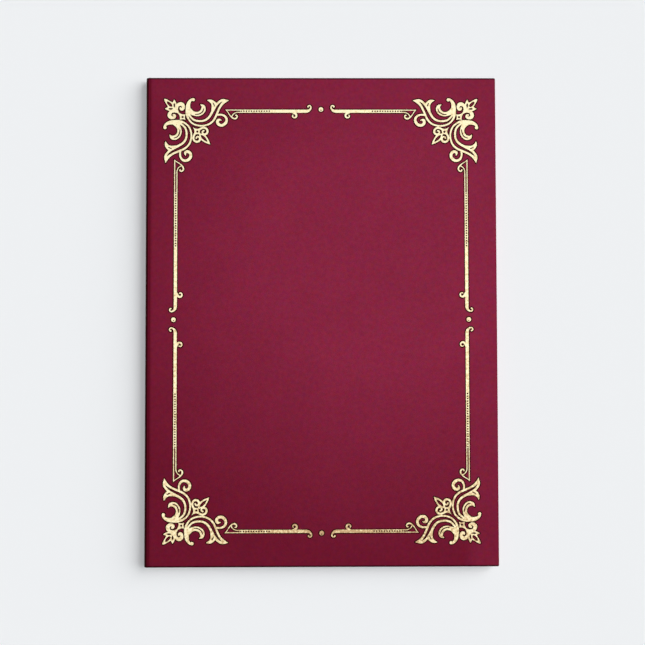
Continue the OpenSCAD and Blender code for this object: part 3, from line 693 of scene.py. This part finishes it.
# %% Wrap both boards
back_wrap = cover_wrap("back_cover_wrap", back_low, back_high, True, "back_cover", "back_cover_skin")
front_wrap = cover_wrap("front_cover_wrap", front_low, front_high, False, "front_cover", "front_cover_skin")
paint([back_wrap, front_wrap], cover_leatherette)

# %% [markdown]
# ## Folds and spine
# Between the boards the same leatherette bends round the spine edge with no board in it. At head and tail
# it is turned in, so its ends are two skins thick with a round nose. A plain quarter tube would have bare
# cut ends. So the strip is drawn as a line through the middle of the skin, as seen from the side, and then
# swept: spun for a fold, pushed for the spine. The liner inside them is made in the same way.

# %% Strip helpers
MERGE_WITHIN = 0.002 * MM  # two points closer than this are one


def draw_line(name, points):
    """Draws an open line by hand: one vertex, extruded from point to point."""
    deselect()
    bpy.ops.mesh.primitive_plane_add(size=1)
    strip = name_piece(name)
    edit(strip, "VERT", "SELECT")
    bpy.ops.mesh.merge(type="CENTER")
    bpy.ops.transform.translate(value=points[0])
    for start, end in zip(points, points[1:]):
        bpy.ops.mesh.extrude_region_move(TRANSFORM_OT_translate={"value": Vector(end) - Vector(start)})
    bpy.ops.mesh.select_all(action="SELECT")
    return strip


def thicken(piece, thickness):
    """Turns a bare surface into a closed sheet of that thickness, half on each side."""
    edit(piece, "VERT", "SELECT")
    bpy.ops.mesh.remove_doubles(threshold=MERGE_WITHIN)
    bpy.ops.mesh.normals_make_consistent(inside=False)
    add_wall(piece, thickness, 0)
    edit(piece, "VERT", "SELECT")
    bpy.ops.mesh.normals_make_consistent(inside=False)
    bpy.ops.object.mode_set(mode="OBJECT")


# %% Lines through the skin and the liner
NOSE_STEPS = 6
LAYER_GAP = 0.04 * MM  # the two layers of a turned-in end don't quite touch
STEP_FROM, STEP_MID, STEP_TO = -2 * MM, -1 * MM, 0.2 * MM  # the liner's step, from the turned-in end


def mirrored(head):
    """The line from tail to head, from its half at the head."""
    return [(-y, depth) for y, depth in reversed(head)] + head


def skin_line():
    """(y, depth) points down the middle of the spine's skin. Depth is how far a point is under its face."""
    outer, inner = SKIN_T / 2, SKIN_T * 1.5 + LAYER_GAP
    radius, middle = (inner - outer) / 2, (inner + outer) / 2
    centre = HEAD_Y - SKIN_T / 2 - radius
    turns = [radians(180 * step / NOSE_STEPS) for step in range(NOSE_STEPS + 1)]
    nose = [(centre + radius * sin(turn), middle - radius * cos(turn)) for turn in turns]
    return mirrored(nose + [(HEAD_Y - TURN_IN, inner)])


def liner_line():
    """(y, depth) points down the middle of the liner, which steps up over the turned-in ends."""
    deep = SKIN_T + LINER_T / 2
    raised = 2 * SKIN_T + 2 * LAYER_GAP + LINER_T / 2
    end = HEAD_Y - TURN_IN
    return mirrored([(end + STEP_FROM, deep), (end + STEP_MID, (deep + raised) / 2),
                     (end + STEP_TO, raised), (liner_high.y, raised)])


print("skin line", len(skin_line()), "points, liner line", len(liner_line()), "points")

# %% Fold and spine functions
FOLD_STEPS = 14
STRIP_ANGLE = 50  # edges sharper than this, in degrees, stay sharp


def fold_strip(name, line, thickness, front, slot, node):
    """Spins a strip a quarter turn round the fold's centre."""
    centre_z = CLOSED_T - FOLD_R if front else FOLD_R
    side = 1 if front else -1
    strip = draw_line(name, [(FOLD_X, y, centre_z + side * (FOLD_R - depth)) for y, depth in line])
    bpy.ops.mesh.spin(steps=FOLD_STEPS, angle=radians(90), center=(FOLD_X, 0, centre_z), axis=(0, side, 0))
    thicken(strip, thickness)
    smooth(strip, STRIP_ANGLE)
    if front:
        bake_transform(strip)
    else:
        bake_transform(strip)
    return finish(strip, None, slot, node)


def spine_strip(name, line, thickness, slot, node):
    """Pushes a strip up between the two folds."""
    strip = draw_line(name, [(SPINE_X + depth, y, FOLD_R) for y, depth in line])
    bpy.ops.mesh.extrude_region_move(TRANSFORM_OT_translate={"value": (0, 0, CLOSED_T - 2 * FOLD_R)})
    thicken(strip, thickness)
    smooth(strip, STRIP_ANGLE)
    return finish(strip, "spine", slot, node)


# %% Sweep the folds and the spine
back_fold = fold_strip("back_fold_wrap", skin_line(), SKIN_T, False, "cover_leatherette",
                       "back_fold_skin")
front_fold = fold_strip("front_fold_wrap", skin_line(), SKIN_T, True, "cover_leatherette",
                        "front_fold_skin")
spine_wrap = spine_strip("spine_wrap", skin_line(), SKIN_T, "cover_leatherette", "spine_skin")
paint([back_fold, front_fold, spine_wrap], spine_leatherette)
back_fold_lining = fold_strip("back_fold_lining", liner_line(), LINER_T, False, "hinge_liner",
                              "back_fold_liner")
front_fold_lining = fold_strip("front_fold_lining", liner_line(), LINER_T, True, "hinge_liner",
                               "front_fold_liner")
spine_lining = spine_strip("spine_lining", liner_line(), LINER_T, "hinge_liner", "spine_liner")
paint([back_fold_lining, front_fold_lining, spine_lining], liner_leatherette)

# %% [markdown]
# ## Hinge liners
# A strip of thin leatherette is glued over the inner edge of each board. It hides where the boards end, and
# it follows the step down from the turned-in skin to the bare board. A flat strip would float over that
# step. It is the liner's line again, pushed along the board, over its edge and down to the fold's liner.

# %% Hinge liner function
LINER_BEND = 0.22 * MM  # the board under it has a sharp edge, so it bends tightly
BEND_LONG, BEND_SHORT = 0.7, 0.3  # two slanting steps of these shares make the bend
LINER_CLEAR = 0.02 * MM  # it stops this much short of the fold's liner


def hinge_liner(name, front, body, node):
    """Draws the liner on one board, from its edge on the board to the start of the fold."""
    low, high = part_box(node)
    face, side = (front_low.z, 1) if front else (back_high.z, -1)
    rise = 2 * SKIN_T + 2 * LAYER_GAP
    strip = draw_line(name, [(high.x, y, face + side * (rise - depth)) for y, depth in liner_line()])
    flat = high.x - low.x - LINER_BEND - LINER_T / 2
    drop = high.z - low.z - LINER_BEND - LINER_T - LINER_CLEAR
    for right, up in ((-flat, 0), (-BEND_LONG * LINER_BEND, BEND_SHORT * LINER_BEND),
                      (-BEND_SHORT * LINER_BEND, BEND_LONG * LINER_BEND), (0, drop)):
        bpy.ops.mesh.extrude_region_move(TRANSFORM_OT_translate={"value": (right, 0, side * up)})
    thicken(strip, LINER_T)
    smooth(strip, STRIP_ANGLE)
    return finish(strip, body, "hinge_liner", node)


# %% Both hinge liners
back_hinge = hinge_liner("back_hinge_lining", False, "back_cover", "back_hinge_liner")
front_hinge = hinge_liner("front_hinge_lining", True, "front_cover", "front_hinge_liner")
paint([back_hinge, front_hinge], liner_leatherette)

# %% [markdown]
# ## Moire linings
# Each card is covered like a small board: the moire goes over its face, round all four edges and 10 mm in
# behind, where it is glued. It is stretched tight, so a cloth simulation would change nothing. The same
# steps as for a cover wrap make it, with a thinner cloth.

# %% Lining function
CLOTH_T, CLOTH_TURN_IN = 0.12 * MM, 10 * MM
CARD_EDGE_R, CARD_ROUND_STEPS = 0.25 * MM, 3
CLOTH_OVER = Vector((CLOTH_T, CLOTH_T, 0))  # the cloth round the card's edges


def card_lining(name, face_z, back_z, body, node):
    """Covers one card with moire, from its face to behind its back."""
    upward = 1 if face_z > back_z else -1
    low, high = PANEL_LOW - CLOTH_OVER, PANEL_HIGH + CLOTH_OVER
    deep = abs(face_z - back_z) + CLOTH_T
    deselect()
    bpy.ops.mesh.primitive_cube_add(size=1, scale=(high.x - low.x, high.y - low.y, deep),
                                    location=(*((low + high) / 2).xy, face_z - upward * deep / 2))
    cloth = name_piece(name)
    edit(cloth, "EDGE", "SELECT")
    bpy.ops.mesh.bevel(offset=CARD_EDGE_R, segments=CARD_ROUND_STEPS)
    pick(cloth, "FACE", lambda c, n: n.z * upward < -0.99)  # its back
    bpy.ops.mesh.inset(thickness=CLOTH_TURN_IN)
    bpy.ops.mesh.delete(type="FACE")
    add_wall(cloth, CLOTH_T, -1)
    smooth(cloth)
    return finish(cloth, body, "moire_lining", node)


# %% Line both cards
back_moire = card_lining("back_moire", PANEL_HIGH.z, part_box("back_panel_card")[0].z, "back_cover",
                         "back_panel_lining")
front_moire = card_lining("front_moire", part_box("front_panel_lining")[0].z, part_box("front_panel_card")[1].z,
                          "front_cover", "front_panel_lining")
paint([back_moire, front_moire], moire)

# %% [markdown]
# ## Corner ribbons
# A 12 mm satin ribbon crosses each corner of the back card at 45 degrees, folds round the card's edge and
# is taped behind it. Because it meets the edge at 45 degrees, its tail runs on along the edge as it goes
# back. A simulated strip would take long to settle that flat. So a strip is laid over the corner, cut along
# both edges, crowned a little, and each end is extruded round the card.

# %% Ribbon function
# Each pair is a place in mm outwards from the card's edge and the ribbon's height there.
ROUND_EDGE = [(-0.30, 3.87), (-0.02, 3.80), (0.16, 3.62), (0.18, 3.30), (0.15, 3.00), (0.00, 2.86),
              (-0.30, 2.83), (-5.0, 2.83), (-10.0, 2.83)]
CUT_AT, TOP_Z = ROUND_EDGE[0][0] * MM, ROUND_EDGE[0][1] * MM
CROWN = 0.16 * MM
HALF_SPAN = RIBBON_REACH * 0.7  # half of the stretch between the two edges
RIBBON_GRID = dict(x_subdivisions=30, y_subdivisions=6)
RIBBON_ANGLE = 60


def crown(ribbon, middle, along, across):
    """Lets the free stretch stand a little proud, as a taut ribbon over a sheet does."""
    mesh = bmesh.from_edit_mesh(ribbon.data)
    for vertex in mesh.verts:
        from_middle = vertex.co - middle
        edge_share = min(1, abs(from_middle.dot(across)) / (RIBBON_W / 2))
        end_share = min(1, abs(from_middle.dot(along)) / HALF_SPAN)
        vertex.co.z += CROWN * (1 - edge_share ** 2) * (1 - end_share ** 4)
    bmesh.update_edit_mesh(ribbon.data)


def corner_ribbon(name, side_x, side_y, node):
    """Lays one ribbon. side_x and side_y, 1 or -1, say which corner."""
    corner = Vector((PANEL_HIGH.x if side_x > 0 else PANEL_LOW.x, side_y * PANEL_HIGH.y, 0))
    middle = corner - Vector((side_x, side_y, 0)) * RIBBON_REACH / 2
    middle.z = TOP_Z
    deselect()
    bpy.ops.mesh.primitive_grid_add(**RIBBON_GRID, size=1, location=middle,
                                    rotation=(0, 0, radians(-45 * side_x * side_y)))
    bpy.context.active_object.scale = (RIBBON_REACH * 2, RIBBON_W, 1)
    ribbon = name_piece(name)
    edit(ribbon)
    ways_out = Vector((side_x, 0, 0)), Vector((0, side_y, 0))
    for outward in ways_out:
        bpy.ops.mesh.select_all(action="SELECT")
        bpy.ops.mesh.bisect(plane_co=corner + outward * CUT_AT, plane_no=outward, clear_outer=True)
    along, across = Vector((side_x, -side_y, 0)).normalized(), Vector((side_x, side_y, 0)).normalized()
    crown(ribbon, middle, along, across)
    for outward, other in zip(ways_out, reversed(ways_out)):
        edge_at = (corner + outward * CUT_AT).dot(outward)
        pick(ribbon, "EDGE", lambda a, b: abs(a.dot(outward) - edge_at) < NEAR
             and abs(b.dot(outward) - edge_at) < NEAR)
        for (out_a, z_a), (out_b, z_b) in zip(ROUND_EDGE, ROUND_EDGE[1:]):
            step = ((out_b - out_a) ** 2 + (z_b - z_a) ** 2) ** 0.5
            move = outward * (out_b - out_a) - other * step + Vector((0, 0, z_b - z_a))
            bpy.ops.mesh.extrude_region_move(TRANSFORM_OT_translate={"value": move * MM})
    thicken(ribbon, RIBBON_T)
    smooth(ribbon, RIBBON_ANGLE)
    return finish(ribbon, "back_cover", "satin_ribbon", node)


# %% Lay the four ribbons
ribbons = {}
for place_y, side_y in (("top", 1), ("bottom", -1)):
    for place_x, side_x in (("left", -1), ("right", 1)):
        ribbons[side_x, side_y] = corner_ribbon(f"satin_ribbon_{place_y}_{place_x}", side_x, side_y,
                                                f"ribbon_{place_y}_{place_x}")
paint([ribbons[1, -1], ribbons[-1, 1]], satin_rising)
paint([ribbons[1, 1], ribbons[-1, -1]], satin_falling)

# %% [markdown]
# ## Pressed edge of the foil, with painted shadow
# The hot die presses the foil into the leatherette, and its rim leaves a narrow, smoother line round every
# scroll. That line is coloured dark: partly the die's darker pressing, and partly painted shadow of the
# pressed-in foil's edge. A material on the cover can't know where the scrolls are. So a copy of each foil
# node is grown by that width and laid flat on the cover, just under the foil's top: the dark line then shows
# all round and fills the finest slots, as it does on the real one.

# %% Pressed edge material, coloured as painted shadow
SHADOW_MOTTLE_SIZE = 3 * MM
pressed_shadow, tree, out = new_material("leatherette_pressed_by_die")
place = add_node(tree, "ShaderNodeTexCoord")
shadow_mottle = add_node(tree, "ShaderNodeTexNoise", {"Vector": (place, "Object"), "Scale": 1 / SHADOW_MOTTLE_SIZE})
# the dark tone is painted shadow round the pressed-in foil, with the die's darker pressing
tone = add_node(tree, "ShaderNodeValToRGB", {"Fac": (shadow_mottle, "Fac")},
                stops=[(0.35, linear("#2C0605")), (0.65, linear("#3A0B09"))])
shader = add_node(tree, "ShaderNodeBsdfPrincipled",
                  {"Base Color": (tone, 0), "Roughness": 0.7, "Specular IOR Level": 0.04})
tree.links.new(shader.outputs[0], out.inputs["Surface"])

# %% Pressed edges, laid as painted shadow
PRESS_W, PRESS_T = 0.5 * MM, 0.012 * MM
GROW = PRESS_W * 2  # the normals at the foil's rim slant up or down, so only a part of this goes outwards
PRESS_FLAT = 0.02  # the grown copy is flattened to this share of its height
FOIL_MERGE = 0.001 * MM  # a CAD node is loose triangles, and its copy's are joined within this
pressed_edge_shadows = []
for node in foil_nodes:
    edge = node.copy()
    edge.data = node.data.copy()
    bpy.context.scene.collection.objects.link(edge)
    edge.parent = None
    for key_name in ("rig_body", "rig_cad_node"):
        del edge[key_name]
    edge.name = edge.data.name = node.name.replace("foil", "pressed_edge_shadow")
    edit(edge, "VERT", "SELECT")
    bpy.ops.mesh.remove_doubles(threshold=FOIL_MERGE)
    bpy.ops.transform.shrink_fatten(value=GROW)
    bpy.ops.transform.resize(value=(1, 1, PRESS_FLAT), center_override=(0, 0, front_high.z + PRESS_T / 2))
    bpy.ops.object.mode_set(mode="OBJECT")
    pressed_edge_shadows.append(finish(edge, "front_cover", "cover_leatherette"))
paint(pressed_edge_shadows, pressed_shadow)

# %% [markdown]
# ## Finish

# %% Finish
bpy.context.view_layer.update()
deselect()
